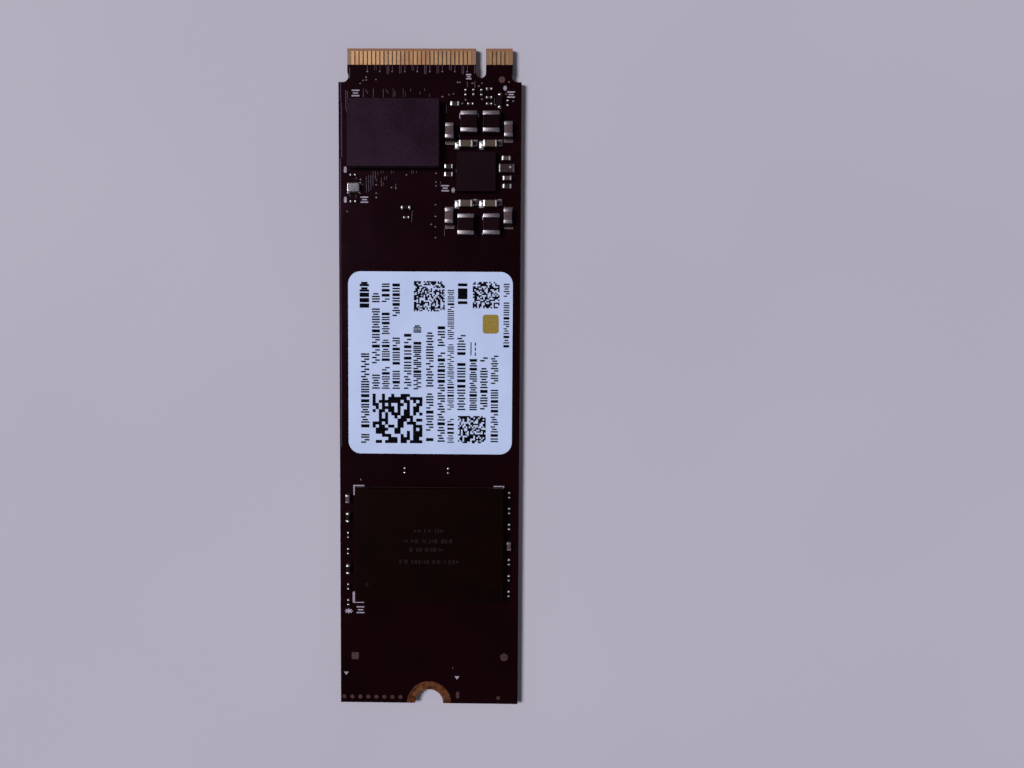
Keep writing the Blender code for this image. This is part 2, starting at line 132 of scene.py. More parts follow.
class Surface:
    """A Principled material with a node tree that reads the frame's own coordinates, in millimetres."""

    def __init__(self, name, roughness, metallic=0.0, specular=0.5, tint=(1, 1, 1)):
        self.material = bpy.data.materials.new(name)
        self.material.use_nodes = True
        self.tree = self.material.node_tree
        self.shader = self.tree.nodes["Principled BSDF"]
        values = {"Roughness": roughness, "Metallic": metallic, "Specular IOR Level": specular,
                  "Specular Tint": (*tint, 1)}
        for socket, value in values.items():
            self.shader.inputs[socket].default_value = value
        self.place = self.tree.nodes.new("ShaderNodeTexCoord").outputs["Object"]

    def link(self, output, target):
        self.tree.links.new(output, target)

    def texture(self, kind, factors, scale=1):
        """A texture node on the place in the frame times these factors, per millimetre."""
        node = self.tree.nodes.new("ShaderNodeTex" + kind)
        node.inputs["Scale"].default_value = scale
        mapping = self.tree.nodes.new("ShaderNodeMapping")
        mapping.inputs["Scale"].default_value = [factor / MM for factor in factors]
        self.link(self.place, mapping.inputs["Vector"])
        self.link(mapping.outputs["Vector"], node.inputs["Vector"])
        return node

    def noise(self, size, detail=3.0, stretch=(1, 1, 1)):
        """Noise whose features are about this many millimetres across, longer along the stretch."""
        node = self.texture("Noise", [1 / (size * s) for s in stretch])
        node.inputs["Detail"].default_value = detail
        return node.outputs["Fac"]

    def cells(self, size):
        """Distance to the nearest of scattered points that lie about this far apart."""
        return self.texture("Voronoi", 3 * [1 / size]).outputs["Distance"]

    def bands(self, size, axis, distortion):
        """Soft stripes this far apart along an axis, bent by the distortion."""
        node = self.texture("Wave", 3 * [1 / size], WAVE_SCALE)
        node.bands_direction = axis
        node.inputs["Distortion"].default_value = distortion
        return node.outputs["Fac"]

    def ramp(self, factor, *stops):
        """A colour for each stop, given as (position, colour), blended between them."""
        node = self.tree.nodes.new("ShaderNodeValToRGB")
        set_stops(node.color_ramp, stops)
        self.link(factor, node.inputs["Fac"])
        return node.outputs["Color"]

    def mix(self, factor, first, second):
        """The first colour where the factor is 0, and the second where it is 1."""
        node = self.tree.nodes.new("ShaderNodeMix")
        node.data_type = "RGBA"
        self.link(factor, node.inputs["Factor"])
        self.link(first, node.inputs[MIX_FIRST])
        self.link(second, node.inputs[MIX_SECOND])
        return node.outputs[MIX_RESULT]

    def colour(self, output):
        """Gives the surface this colour."""
        self.link(output, self.shader.inputs["Base Color"])

    def mottle(self, factor, dark, light, low=0.3, high=0.7):
        """Dark where the factor is low, light where it is high, and blended between."""
        self.colour(self.ramp(factor, (low, dark), (high, light)))

    def roughness(self, factor, low, high):
        """Roughness that goes from low to high with the factor."""
        node = self.tree.nodes.new("ShaderNodeMapRange")
        node.inputs["To Min"].default_value = low
        node.inputs["To Max"].default_value = high
        self.link(factor, node.inputs["Value"])
        self.link(node.outputs["Result"], self.shader.inputs["Roughness"])

    def bump(self, height, depth):
        """Relief of about this many millimetres."""
        node = self.tree.nodes.new("ShaderNodeBump")
        node.inputs["Strength"].default_value = 1
        node.inputs["Distance"].default_value = depth * MM
        self.link(height, node.inputs["Height"])
        self.link(node.outputs["Normal"], self.shader.inputs["Normal"])


# Materials: sizes and depths are in millimetres, and colours are linear

def solder_mask():
    """Dark glossy mask with faint specks of dust."""
    s = Surface("solder_mask", 0.18, specular=0.24, tint=(1, 0.55, 0.95))
    broad = s.noise(9, 2)
    base = s.ramp(broad, (0.3, (0.003, 0.0002, 0.0001)), (0.7, (0.0064, 0.0006, 0.0005)))
    dust = s.ramp(s.cells(1.3), (0.02, (0.03, 0.02, 0.024)), (0.035, (0.004, 0.0005, 0.001)))
    s.colour(s.mix(s.noise(20, 1), base, dust))
    s.roughness(s.noise(2.5), 0.14, 0.22)
    s.bump(s.noise(0.35, 2), 0.0012)
    return s.material


def covered_copper_and_highlight(name, size, stretch, dark, light):
    """Mask over copper, paler than on the laminate: partly its own tone, partly a painted highlight."""
    s = Surface(name, 0.2, specular=0.3)
    s.mottle(s.noise(size, stretch=stretch), dark, light)
    s.bump(s.noise(0.2, 2), 0.001)
    return s.material


def gold_contact():
    """Plated contacts with fine streaks along them, darker in patches."""
    s = Surface("gold_contact", 0.35, metallic=0.8)
    streaks = s.noise(0.03, 3, (1, 5, 1))
    clean = s.ramp(streaks, (0.3, (0.43, 0.23, 0.115)), (0.7, (0.53, 0.31, 0.165)))
    worn = s.ramp(streaks, (0.3, (0.33, 0.155, 0.077)), (0.7, (0.43, 0.225, 0.12)))
    patches = s.ramp(s.noise(1.1, 3, (1, 2, 1)), (0.42, (0, 0, 0)), (0.62, (1, 1, 1)))
    s.colour(s.mix(patches, clean, worn))
    s.roughness(s.noise(0.25), 0.3, 0.46)
    s.bump(s.noise(0.03, 3, (1, 5, 1)), 0.0005)
    return s.material


def ring_gold():
    """The ring pad's plating, darkened to brown as painted shade, in patches of random tone."""
    s = Surface("ring_gold", 0.42, metallic=1)
    plating_shade = ((0.36, (0.07, 0.022, 0.01)), (0.52, (0.14, 0.047, 0.02)), (0.68, (0.2, 0.085, 0.043)))
    s.colour(s.ramp(s.noise(0.6, 4), *plating_shade))
    s.roughness(s.noise(0.3), 0.42, 0.6)
    s.bump(s.noise(0.12), 0.003)
    return s.material


def bare_laminate(name, dark, light):
    """Glass cloth in clear resin."""
    s = Surface(name, 0.5, specular=0.4)
    weave = s.mix(s.noise(0.5, 2), s.bands(0.25, "X", 1.5), s.bands(0.25, "Y", 1.5))
    s.mottle(weave, dark, light, 0.2, 0.8)
    s.bump(weave, 0.002)
    return s.material


def laminate_edge():
    """The layers that show where the card is cut."""
    s = Surface("laminate_edge", 0.65, specular=0.3)
    layers = s.bands(0.16, "Z", 0.6)
    s.mottle(layers, (0.024, 0.014, 0.009), (0.072, 0.046, 0.027), 0.25, 0.7)
    s.bump(s.noise(0.06, 4), 0.006)
    return s.material


def bare_pad(name, size, dark, light, roughness, metallic):
    """A pad without mask."""
    s = Surface(name, roughness, metallic)
    s.mottle(s.noise(size), dark, light)
    s.bump(s.noise(0.08), 0.002)
    return s.material


def solder():
    s = Surface("solder", 0.22, metallic=1)
    s.mottle(s.noise(0.12), (0.66, 0.64, 0.67), (0.86, 0.84, 0.86))
    s.roughness(s.noise(0.15), 0.16, 0.34)
    s.bump(s.noise(0.1, 2), 0.004)
    return s.material


def shaded_solder_fillet():
    """The thin foot of the solder below a terminal, rougher than solder and dark grey as painted shade."""
    s = Surface("shaded_solder_fillet", 0.36, metallic=1)
    s.mottle(s.noise(0.12), (0.07, 0.06, 0.066), (0.15, 0.135, 0.145))
    s.roughness(s.noise(0.15), 0.28, 0.44)
    s.bump(s.noise(0.08, 2), 0.003)
    return s.material


def tinned_terminal():
    """The matt grey plating of a larger chip's ends."""
    s = Surface("tinned_terminal", 0.38, metallic=1)
    s.mottle(s.noise(0.2), (0.27, 0.23, 0.27), (0.38, 0.33, 0.38))
    s.roughness(s.noise(0.2), 0.28, 0.4)
    s.bump(s.noise(0.05), 0.002)
    return s.material


def wetted_terminal():
    """A small chip's end, wetted with solder all over."""
    s = Surface("wetted_terminal", 0.4, metallic=1)
    s.mottle(s.noise(0.15), (0.72, 0.7, 0.72), (0.9, 0.88, 0.9))
    s.roughness(s.noise(0.15), 0.34, 0.46)
    s.bump(s.noise(0.08, 2), 0.004)
    return s.material


def lid_metal():
    """The crystal's lid, brushed across the card."""
    s = Surface("lid_metal", 0.25, metallic=1)
    s.mottle(s.noise(0.1, 3, (8, 1, 1)), (0.2, 0.18, 0.22), (0.3, 0.27, 0.33))
    s.roughness(s.noise(0.4), 0.22, 0.28)
    s.bump(s.noise(0.05, 3, (10, 1, 1)), 0.0015)
    return s.material


def moulding(name, dark, light, roughness, tint=(1, 0.65, 0.8)):
    """Black epoxy moulding compound with its fine filler grain."""
    s = Surface(name, roughness, specular=0.06, tint=tint)
    grain = s.ramp(s.noise(0.2, 4), (0.35, dark), (0.65, light))
    broad = s.ramp(s.noise(4), (0.35, dark), (0.65, light))
    s.colour(s.mix(s.noise(1.5), grain, broad))
    s.roughness(s.noise(0.3), roughness - 0.04, roughness + 0.04)
    s.bump(s.noise(0.05, 4), 0.003)
    return s.material


def ceramic(name, dark, light, roughness=0.45, specular=0.15):
    """A chip's body, fired or coated, with a fine mottle."""
    s = Surface(name, roughness, specular=specular)
    s.mottle(s.noise(0.16, 4), dark, light)
    s.roughness(s.noise(0.2), roughness - 0.08, roughness + 0.1)
    s.bump(s.noise(0.06), 0.002)
    return s.material


def label_paper():
    """Pale label stock with its fibre and faint smudges."""
    s = Surface("label_paper", 0.5, specular=0.3)
    fibre = s.ramp(s.noise(0.12, 5), (0.3, (0.385, 0.455, 0.675)), (0.7, (0.43, 0.505, 0.735)))
    smudge = s.ramp(s.noise(5, 4), (0.35, (0.37, 0.435, 0.655)), (0.6, (0.425, 0.5, 0.73)))
    s.colour(s.mix(s.noise(3), fibre, smudge))
    s.roughness(s.noise(1.5), 0.42, 0.58)
    s.bump(s.noise(0.15, 4), 0.002)
    return s.material


def ink(name, dark, light, specular=0.05):
    """Print, slightly thinner and lighter in places."""
    s = Surface(name, 0.5, specular=specular)
    s.mottle(s.noise(0.3, 4), dark, light, 0.3, 0.75)
    s.bump(s.noise(0.08), 0.001)
    return s.material


def floor_surface():
    """A plain pale floor, uneven by a shade."""
    s = Surface("floor", 0.8, specular=0.2)
    s.mottle(s.noise(60, 2), (0.385, 0.365, 0.44), (0.41, 0.39, 0.465))
    return s.material


MASK = solder_mask()
# Traces and vias: paler than the mask, partly their own tone and partly a painted highlight
TRACE_AND_HIGHLIGHT = covered_copper_and_highlight("covered_copper_and_highlight", 1.2, (1, 1, 1), (0.045, 0.03, 0.046), (0.12, 0.09, 0.125))
# The strip along the ground plane's edge is paler than the mask: a painted highlight
PLANE_EDGE_HIGHLIGHT = covered_copper_and_highlight("plane_edge_highlight", 4, (1, 4, 1), (0.016, 0.007, 0.018), (0.056, 0.034, 0.068))
GOLD = gold_contact()
RING_GOLD = ring_gold()
BARE_LAMINATE = bare_laminate("bare_laminate", (0.165, 0.08, 0.042), (0.235, 0.122, 0.065))
# The laminate between the contacts is darkened as painted shade
SHADED_GAP_LAMINATE = bare_laminate("shaded_gap_laminate", (0.03, 0.012, 0.006), (0.06, 0.026, 0.014))
TIP_LAMINATE = bare_laminate("tip_laminate", (0.162, 0.067, 0.032), (0.246, 0.112, 0.057))
LAMINATE_EDGE = laminate_edge()
BARE_COPPER = bare_pad("bare_copper", 0.3, (0.063, 0.028, 0.028), (0.106, 0.053, 0.055), 0.45, 0.8)
DULL_PAD = bare_pad("dull_pad", 0.25, (0.018, 0.007, 0.007), (0.05, 0.025, 0.023), 0.5, 0.3)
SOLDER = solder()
# The fillets' dark grey is painted shade, for the dim room that their slopes reflect
SHADED_FILLET = shaded_solder_fillet()
TIN = tinned_terminal()
WETTED = wetted_terminal()
LID_METAL = lid_metal()
CONTROLLER_MOULD = moulding("controller_mould", (0.0055, 0.0016, 0.0046), (0.0185, 0.0078, 0.0185), 0.4)
POWER_MOULD = moulding("power_mould", (0.0036, 0.0009, 0.0017), (0.0077, 0.0028, 0.0055), 0.4)
FLASH_MOULD = moulding("flash_mould", (0.001, 0.0002, 0.0001), (0.003, 0.0007, 0.0005), 0.4, (1, 0.5, 0.5))
COIL_BODY = moulding("coil_body", (0.0034, 0.0007, 0.0014), (0.0075, 0.0024, 0.0042), 0.34)
PINK = ceramic("ceramic_pink", (0.044, 0.025, 0.03), (0.075, 0.046, 0.052))
TAN = ceramic("ceramic_tan", (0.047, 0.03, 0.024), (0.08, 0.054, 0.044))
BROWN = ceramic("ceramic_brown", (0.004, 0.0017, 0.0016), (0.012, 0.0058, 0.0054), specular=0.05)
SENSOR = ceramic("ceramic_dark", (0.014, 0.0055, 0.007), (0.03, 0.014, 0.017))
FILM = ceramic("resistor_film", (0.008, 0.0045, 0.006), (0.026, 0.018, 0.022), 0.35)
ALUMINA = ceramic("alumina", (0.16, 0.145, 0.16), (0.24, 0.22, 0.235))
PAPER = label_paper()
LABEL_INK = ink("label_ink", (0.001, 0.0006, 0.0016), (0.0042, 0.0032, 0.0075), specular=0.01)
YELLOW_INK = ink("yellow_ink", (0.2, 0.14, 0.028), (0.27, 0.195, 0.045))
LEGEND_INK = ink("legend_ink", (0.21, 0.18, 0.24), (0.35, 0.315, 0.39))
LASER_MARK = ink("laser_mark", (0.005, 0.0025, 0.003), (0.014, 0.008, 0.01))


# Mesh helpers, in millimetres

def arc(radius, first, last, steps):
    """Points on a circle about the origin, from the first angle to the last, in degrees."""
    turn = (last - first) / steps
    angles = [math.radians(first + turn * i) for i in range(steps + 1)]
    return [(radius * math.cos(a), radius * math.sin(a)) for a in angles]


def circle(radius, sides=20):
    """A circle about the origin, counter-clockwise."""
    return arc(radius, 0, 360 - 360 / sides, sides - 1)


def rectangle(width, length, radius, steps=3):
    """A rectangle about the origin, counter-clockwise, with rounded corners."""
    radius = min(radius, LARGEST_CORNER * width, LARGEST_CORNER * length)
    x = width / 2 - radius
    y = length / 2 - radius
    points = []
    for i, (cx, cy) in enumerate(((x, y), (-x, y), (-x, -y), (x, -y))):
        points += [(cx + px, cy + py) for px, py in arc(radius, 90 * i, 90 * i + 90, steps)]
    return points


def skin(bm, rings, slot=0):
    """Skins rings of equally many points and closes both ends."""
    loops = [[bm.verts.new(point) for point in ring] for ring in rings]
    faces = [bm.faces.new(loops[0][::-1]), bm.faces.new(loops[-1])]
    for lower, upper in zip(loops, loops[1:]):
        for i, corner in enumerate(lower):
            j = (i + 1) % len(lower)
            faces.append(bm.faces.new((corner, lower[j], upper[j], upper[i])))
    for face in faces:
        face.material_index = slot


def slab(bm, outline, x, y, bottom, top, slot=0, edge=0.004, turn=0):
    """A thin layer of this outline, its upper edge broken, standing from bottom to top."""
    reach = max(math.hypot(px, py) for px, py in outline)
    shrink = max(0.5, 1 - edge / reach)
    cosine = math.cos(math.radians(turn))
    sine = math.sin(math.radians(turn))
    turned = [(px * cosine - py * sine, px * sine + py * cosine) for px, py in outline]
    levels = ((1, bottom), (1, top - min(edge, (top - bottom) / 2)), (shrink, top))
    skin(bm, [[(x + px * s, y + py * s, z) for px, py in turned] for s, z in levels], slot)


def bar(bm, x0, y0, x1, y1, width, base, rise, slot=0):
    """A strip with rounded ends between two points, sunk a little into what carries it."""
    length = math.hypot(x1 - x0, y1 - y0) + width
    turn = math.degrees(math.atan2(y1 - y0, x1 - x0))
    outline = rectangle(length, width, width / 2)
    slab(bm, outline, (x0 + x1) / 2, (y0 + y1) / 2, base - SUNK, base + rise, slot, turn=turn)


def dome(bm, outline, x, y, base, height, slot=0, steps=6, wall=SUNK):
    """A melted drop on this outline, on a wall that reaches this far below its base."""
    rings = [[(x + px, y + py, base - wall) for px, py in outline]]
    for i in range(steps + 1):
        angle = math.radians(DOME_CURVE * i / steps)
        level = base + height * math.sin(angle)
        rings.append([(x + px * math.cos(angle), y + py * math.cos(angle), level) for px, py in outline])
    skin(bm, rings, slot)


def lengthwise(along, width, bottom, top, radius):
    """A ring across a chip's length, from the bottom height to the top."""
    middle = (bottom + top) / 2
    return [(along, px, middle + py) for px, py in rectangle(width, top - bottom, radius)]


def add_object(name, data):
    """A new object in the scene."""
    added = bpy.data.objects.new(name, data)
    bpy.context.scene.collection.objects.link(added)
    return added


def new_piece(name, bm, materials, replaced=(), sharp=SHARP):
    """Turns the mesh into metres, shades it, and lets it ride on the card."""
    bmesh.ops.recalc_face_normals(bm, faces=bm.faces)
    bm.transform(Matrix.Scale(MM, 4))
    mesh = bpy.data.meshes.new(name)
    bm.to_mesh(mesh)
    bm.free()
    mesh.shade_smooth()
    mesh.set_sharp_from_angle(angle=math.radians(sharp))
    for material in materials:
        mesh.materials.append(material)
    piece = add_object(name, mesh)
    flatten = piece.modifiers.new("level_faces", "WEIGHTED_NORMAL")
    flatten.keep_sharp = True
    flatten.weight = FACE_WEIGHT
    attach(piece, "root")
    if replaced:
        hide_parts(*replaced)


def node_box(node):
    """The lowest and highest corners of a CAD node, in millimetres."""
    low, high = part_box(node)
    return low / MM, high / MM


def copy_node(name, node, materials, choose, cuts=()):
    """A copy of a CAD node's shape, cut across at some Y, each face with the material that choose() picks."""
    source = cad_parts[node].data
    bm = bmesh.new()
    corners = [bm.verts.new(vertex.co / MM) for vertex in source.vertices]
    for polygon in source.polygons:
        bm.faces.new([corners[i] for i in polygon.vertices])
    bmesh.ops.remove_doubles(bm, verts=bm.verts, dist=MERGED)
    for y in cuts:
        everything = bm.verts[:] + bm.edges[:] + bm.faces[:]
        bmesh.ops.bisect_plane(bm, geom=everything, dist=MERGED, plane_co=(0, y, 0), plane_no=(0, 1, 0))
    bm.normal_update()
    for face in bm.faces:
        face.material_index = choose(face)
    new_piece(name, bm, materials, (node,), CAD_SHARP)


CARD_TOP = node_box("circuit_board")[1].z
LABEL_TOP = node_box("label")[1].z
BALL_TOP = node_box("flash_substrate")[0].z + BALL_HEIGHT


# The card

CARD_MATERIALS = (MASK, GOLD, BARE_LAMINATE, SHADED_GAP_LAMINATE, TIP_LAMINATE, LAMINATE_EDGE, RING_GOLD)


def contact_face(face, depth):
    """The material of a tongue face in front of the mask: contact, gap in painted shade, margin, tip or cut
    edge.
    """
    width = max(v.co.x for v in face.verts) - min(v.co.x for v in face.verts)
    slope = abs(face.normal.z)
    if depth < CONTACT_HEIGHT - NEAR and (slope > FLAT or slope < UPRIGHT):
        return GOLD
    if slope < UPRIGHT:
        return LAMINATE_EDGE
    if face.calc_center_median().y > CONTACT_END:
        return TIP_LAMINATE
    # Narrow strips between two contacts take the dark laminate, which is painted shade
    return SHADED_GAP_LAMINATE if width < WIDEST_GAP else BARE_LAMINATE


def card_face(face):
    """The slot of a card face's material. The step round the ring pad is as dark as the mask."""
    centre = face.calc_center_median()
    depth = min(centre.z, CARD_TOP - centre.z)
    shallow = depth < CONTACT_HEIGHT + NEAR
    if centre.y > CONTACT_START + NEAR:
        material = contact_face(face, depth)
    elif shallow and (centre.xy - RING_CENTRE).length < RING_RADIUS + NEAR:
        material = RING_GOLD
    elif shallow or abs(face.normal.z) > FLAT:
        material = MASK
    else:
        material = LAMINATE_EDGE
    return CARD_MATERIALS.index(material)


def make_card():
    """The card, its faces cut where their finish changes."""
    cuts = (CONTACT_START, CONTACT_END)
    copy_node("circuit_card", "circuit_board", CARD_MATERIALS, card_face, cuts)


# Plated holes in the ring pad: their angles in degrees, how far they are from its centre, and their radius
RING_VIA_ANGLES = range(12, 180, 26)
RING_VIA_REACH = 2.25
RING_VIA_RADIUS = 0.09


def make_ring_vias():
    """Plated holes round the ring pad, filled and dull."""
    bm = bmesh.new()
    for angle in RING_VIA_ANGLES:
        x = RING_VIA_REACH * math.cos(math.radians(angle))
        y = RING_CENTRE.y + RING_VIA_REACH * math.sin(math.radians(angle))
        dome(bm, circle(RING_VIA_RADIUS, 14), x, y, CARD_TOP, RING_VIA_RISE)
    new_piece("ring_pad_vias", bm, (DULL_PAD,))


# Copper under the mask

TRACE_WIDTH = 0.055
TRACE_STEP = 0.0005
VIA_RADIUS = 0.1
STUB_START = 37.95
GROUND_CONTACTS = [-7.5 + 1.5 * i for i in range(9)]


def add_traces(bm, *lines):
    """Traces, each a little higher than the one before, so that no two tops that meet are level."""
    for i, (x0, y0, x1, y1) in enumerate(lines):
        bar(bm, x0, y0, x1, y1, TRACE_WIDTH, CARD_TOP, COPPER_RISE + TRACE_STEP * i)


def add_stubs(bm, *stubs):
    """Straight traces along the card: x, start, end."""
    add_traces(bm, *[(x, start, x, end) for x, start, end in stubs])


def add_vias(bm, places):
    """Low round bumps, where the mask covers a via."""
    for x, y in places:
        dome(bm, circle(VIA_RADIUS, 12), x, y, CARD_TOP, VIA_RISE, steps=3)


def make_connector_traces(bm):
    """Behind the contacts: a stub at each ground contact, a pair between two, and ends by the controller."""
    for i, ground in enumerate(GROUND_CONTACTS):
        add_stubs(bm, (ground, STUB_START, 37.35))
        end = (37.4, 36.95, 37.05)[i % 3]
        for x in (ground + 0.85, ground + 1.05):
            add_stubs(bm, (x, STUB_START, end))
    add_stubs(bm, (-9.65, 37.7, 36.45), (-9.9, 34.85, 34.1))
    add_traces(bm, (-10.12, 35.0, -10.12, 33.0), (-10.12, 33.0, -10.0, 32.45))
    for i in range(5):
        add_stubs(bm, (-8.0 + 1.2 * i, 35.2, 34.2))
    add_traces(bm, (-7.68, 35.1, -7.5, 34.68), (-5.28, 35.1, -5.0, 34.72), (-4.19, 34.95, -4.19, 34.3))
    add_traces(bm, (-2.93, 34.85, -2.93, 34.3), (-2.3, 35.25, -2.3, 34.95), (-1.23, 34.85, -1.15, 34.6))
    add_traces(bm, (-0.65, 35.25, -0.6, 34.95), (-0.03, 34.6, -0.03, 34.3))


def make_controller_traces(bm):
    """Below the controller: the fan-out to the crystal and to the inner layers."""
    for i, (top, bottom) in enumerate(((24.8, 22.8), (24.95, 23.0), (24.9, 23.2), (25.4, 23.7))):
        add_stubs(bm, (-7.67 + 0.27 * i, top, bottom))
    add_traces(bm, (-6.57, 25.45, -6.57, 24.7), (-6.57, 24.7, -6.4, 24.2), (-6.27, 25.4, -6.27, 25.0))
    add_stubs(bm, (-5.85, 25.5, 25.2), (-5.6, 25.45, 25.25), (-5.85, 24.6, 23.65))
    add_stubs(bm, (-5.6, 24.05, 23.75), (-5.47, 24.75, 24.4), (-5.22, 24.85, 24.45))
    add_stubs(bm, (-4.65, 25.55, 25.15), (-4.4, 25.45, 25.25), (-4.12, 23.9, 23.3))
    add_stubs(bm, (-2.2, 25.55, 25.15), (-2.0, 25.5, 25.2), (-1.6, 25.45, 25.25))
    add_traces(bm, (-2.05, 20.75, -2.18, 20.1), (-2.18, 20.1, -2.18, 19.35))
    add_traces(bm, (-9.75, 22.75, -9.65, 22.4), (-8.95, 22.6, -8.95, 22.25), (-8.9, 24.75, -8.9, 24.4))


def make_power_traces(bm):
    """Stubs among the parts on the right."""
    add_stubs(bm, (3.55, 29.8, 29.4), (5.85, 32.1, 31.75), (5.4, 36.1, 35.3))
    add_stubs(bm, (4.5, 36.05, 35.4), (4.2, 34.1, 33.9), (7.75, 34.1, 33.3))
    add_stubs(bm, (1.3, 24.2, 23.6), (3.2, 25.7, 25.35), (2.0, 33.3, 32.3))
    add_stubs(bm, (5.6, 18.1, 17.6), (1.8, 18.6, 17.75))


# Covered vias that the photograph shows
VIAS = (
    (-8.35, 35.85), (-8.0, 36.2), (-7.6, 36.25), (-7.65, 36.6), (-6.45, 36.3), (-8.35, 24.4), (-8.15, 23.85),
    (-6.45, 23.8), (-6.45, 22.8), (-6.45, 22.3), (-4.6, 23.5), (-2.8, 25.0), (-4.08, 23.4), (0.78, 25.2),
    (0.75, 24.15), (0.78, 23.7), (0.72, 21.45), (0.72, 20.05), (0.72, 18.8), (0.72, 17.5), (0.2, 19.1),
    (2.95, -35.55), (-8.4, -12.1), (-10.0, 20.6), (3.9, 33.5), (2.45, 20.55),
)


def make_copper():
    """Traces and vias that show through the mask, some of the vias a seeded scatter, and a painted highlight
    on the plane's edge.
    """
    rng = random.Random(1895)
    bm = bmesh.new()
    make_connector_traces(bm)
    make_controller_traces(bm)
    make_power_traces(bm)
    add_vias(bm, [(x, 37.25) for x in GROUND_CONTACTS])
    add_vias(bm, VIAS)
    add_vias(bm, [(rng.uniform(1.5, 10.3), rng.uniform(33.2, 36.2)) for _ in range(14)])
    new_piece("covered_traces", bm, (TRACE_AND_HIGHLIGHT,))
    # A pale strip along the ground plane's edge, which is a painted highlight
    bm = bmesh.new()
    for x, start, end in ((-10.75, 35.85, 33.75), (-10.66, 33.6, 27.1), (-10.8, 26.9, -8.0)):
        bar(bm, x, start, x, end, 0.12, CARD_TOP, COPPER_RISE)
    new_piece("ground_plane_highlight", bm, (PLANE_EDGE_HIGHLIGHT,))


# The underside, which the photo doesn't show: plain copper and pads such as a bare side has

def turn_under(bm):
    """Carries what was built on the top face to the same place on the underside."""
    bm.transform(Matrix.Translation((0, 0, CARD_TOP)) @ Matrix.Scale(-1, 4, (0, 0, 1)))


# Vias below the packages: left, right, bottom and top of their grid, its step, and the share that is made
CONTROLLER_VIAS = (-9.6, 0, 27.2, 33.6, 0.8, 0.6)
FLASH_VIAS = (-7, 7, -26, -13, 1, 0.35)


def fan_out(rng, left, right, bottom, top, step, share):
    """Places on a grid of vias below a package, of which this share is kept."""
    places = []
    for row in range(round((top - bottom) / step)):
        for column in range(round((right - left) / step)):
            if rng.random() < share:
                places.append((left + column * step, bottom + row * step))
    return places


def make_underside_copper():
    """Stubs at the contacts, the bus from the controller to the flash, and vias below the parts."""
    rng = random.Random(7)
    bm = bmesh.new()
    vias = fan_out(rng, *CONTROLLER_VIAS) + fan_out(rng, *FLASH_VIAS)
    vias += [(rng.uniform(2, 10), rng.uniform(18.5, 34)) for _ in range(36)]
    for i in range(13):
        x = -8.5 + 1.0 * i
        end = 37.3 - 0.35 * (i % 3)
        add_stubs(bm, (x, STUB_START, end), (x + 0.5, STUB_START, end))
        vias.append((x, end - 0.1))
    for i in range(11):
        start = -6.6 + 0.5 * i
        end = start + 4
        bend = 10 + 0.2 * i
        add_traces(bm, (start, 26.4, start, bend), (start, bend, end, bend - 4), (end, bend - 4, end, -12.2))
        vias += [(start, 26.5), (end, -12.3)]
    add_vias(bm, vias)
    turn_under(bm)
    new_piece("underside_traces", bm, (TRACE_AND_HIGHLIGHT,))


def add_pad(bm, outline, x, y, slot=0):
    """A pad without mask on the card."""
    slab(bm, outline, x, y, CARD_TOP - SUNK, CARD_TOP + PAD_RISE, slot)


def make_underside_pads():
    """A row of test pads and two larger ones near opposite corners."""
    bm = bmesh.new()
    for i in range(6):
        add_pad(bm, circle(0.4, 24), 8.6, 10.5 - 2.2 * i)
    for x, y in ((-9.3, -34.1), (9.3, 34.6)):
        add_pad(bm, circle(0.48, 28), x, y)
    turn_under(bm)
    new_piece("underside_pads", bm, (BARE_COPPER,))


# Bare pads and loose solder

def make_pads():
    """Test pads near both notches, and the row of dots along the card's end."""
    bm = bmesh.new()
    add_pad(bm, rectangle(0.88, 0.88, 0.08), -9.2, -34.1)
    add_pad(bm, circle(0.48, 28), 9.3, -34.1)
    for i in range(8):
        add_pad(bm, circle(0.25), -10.58 + i, -39.28)
    add_pad(bm, rectangle(0.42, 0.9, 0.2), 3.55, -38.95)
    add_pad(bm, circle(0.24), 8.6, -39.25)
    add_pad(bm, circle(0.38, 24), 8.65, 36.3)
    new_piece("test_pads", bm, (BARE_COPPER,))


# Pads left empty beside the output capacitors (x, y), the pad ends that the bulk capacitors leave bare
# (x, y, length), and the solder drops beside the output capacitors (x, y, width, length)
EMPTY_PADS = ((5.5, 28.8), (8.45, 28.8), (5.5, 21.75), (8.45, 21.75))
PAD_ENDS = ((2.42, 28.8, 0.36), (9.47, 29.07, 0.36), (2.42, 21.02, 0.36), (9.5, 21.06, 0.3),
            (2.45, 18.78, 0.34), (9.55, 18.7, 0.22))
SOLDER_DROPS = ((3.27, 28.5, 0.42, 0.78), (6.2, 28.55, 0.4, 0.9),
                (3.3, 21.5, 0.44, 0.86), (6.22, 21.55, 0.4, 0.84))
DROP_HEIGHT = 0.14

# Slots of the power stage's pads
DULL, BRIGHT, MELTED, TINNED = range(4)


def make_power_pads():
    """The power stage's empty pads and pad ends with solder on their rims, and its loose drops."""
    bm = bmesh.new()
    for x, y in EMPTY_PADS:
        add_pad(bm, rectangle(0.6, 0.7, 0.1), x, y, DULL)
        bar(bm, x - 0.2, y + 0.32, x + 0.22, y + 0.32, 0.1, CARD_TOP, SOLDER_RISE, BRIGHT)
        bar(bm, x - 0.12, y - 0.3, x + 0.1, y - 0.3, 0.12, CARD_TOP, SOLDER_RISE, BRIGHT)
    for x, y, length in PAD_ENDS:
        add_pad(bm, rectangle(1.12, length, 0.06), x, y, DULL)
        foot = y - 0.4 * length
        bar(bm, x - 0.5, foot, x + 0.5, foot, 0.07, CARD_TOP, SOLDER_RISE, TINNED)
        bar(bm, x - 0.5, y - 0.3 * length, x - 0.5, y + 0.4 * length, 0.08, CARD_TOP, SOLDER_RISE, TINNED)
    for x, y, width, length in SOLDER_DROPS:
        add_pad(bm, rectangle(width + 0.12, length + 0.1, 0.08), x, y, BRIGHT)
        dome(bm, rectangle(width, length, 0.14, 4), x, y, CARD_TOP, DROP_HEIGHT, MELTED)
    new_piece("power_stage_pads", bm, (DULL_PAD, SOLDER, WETTED, TIN))


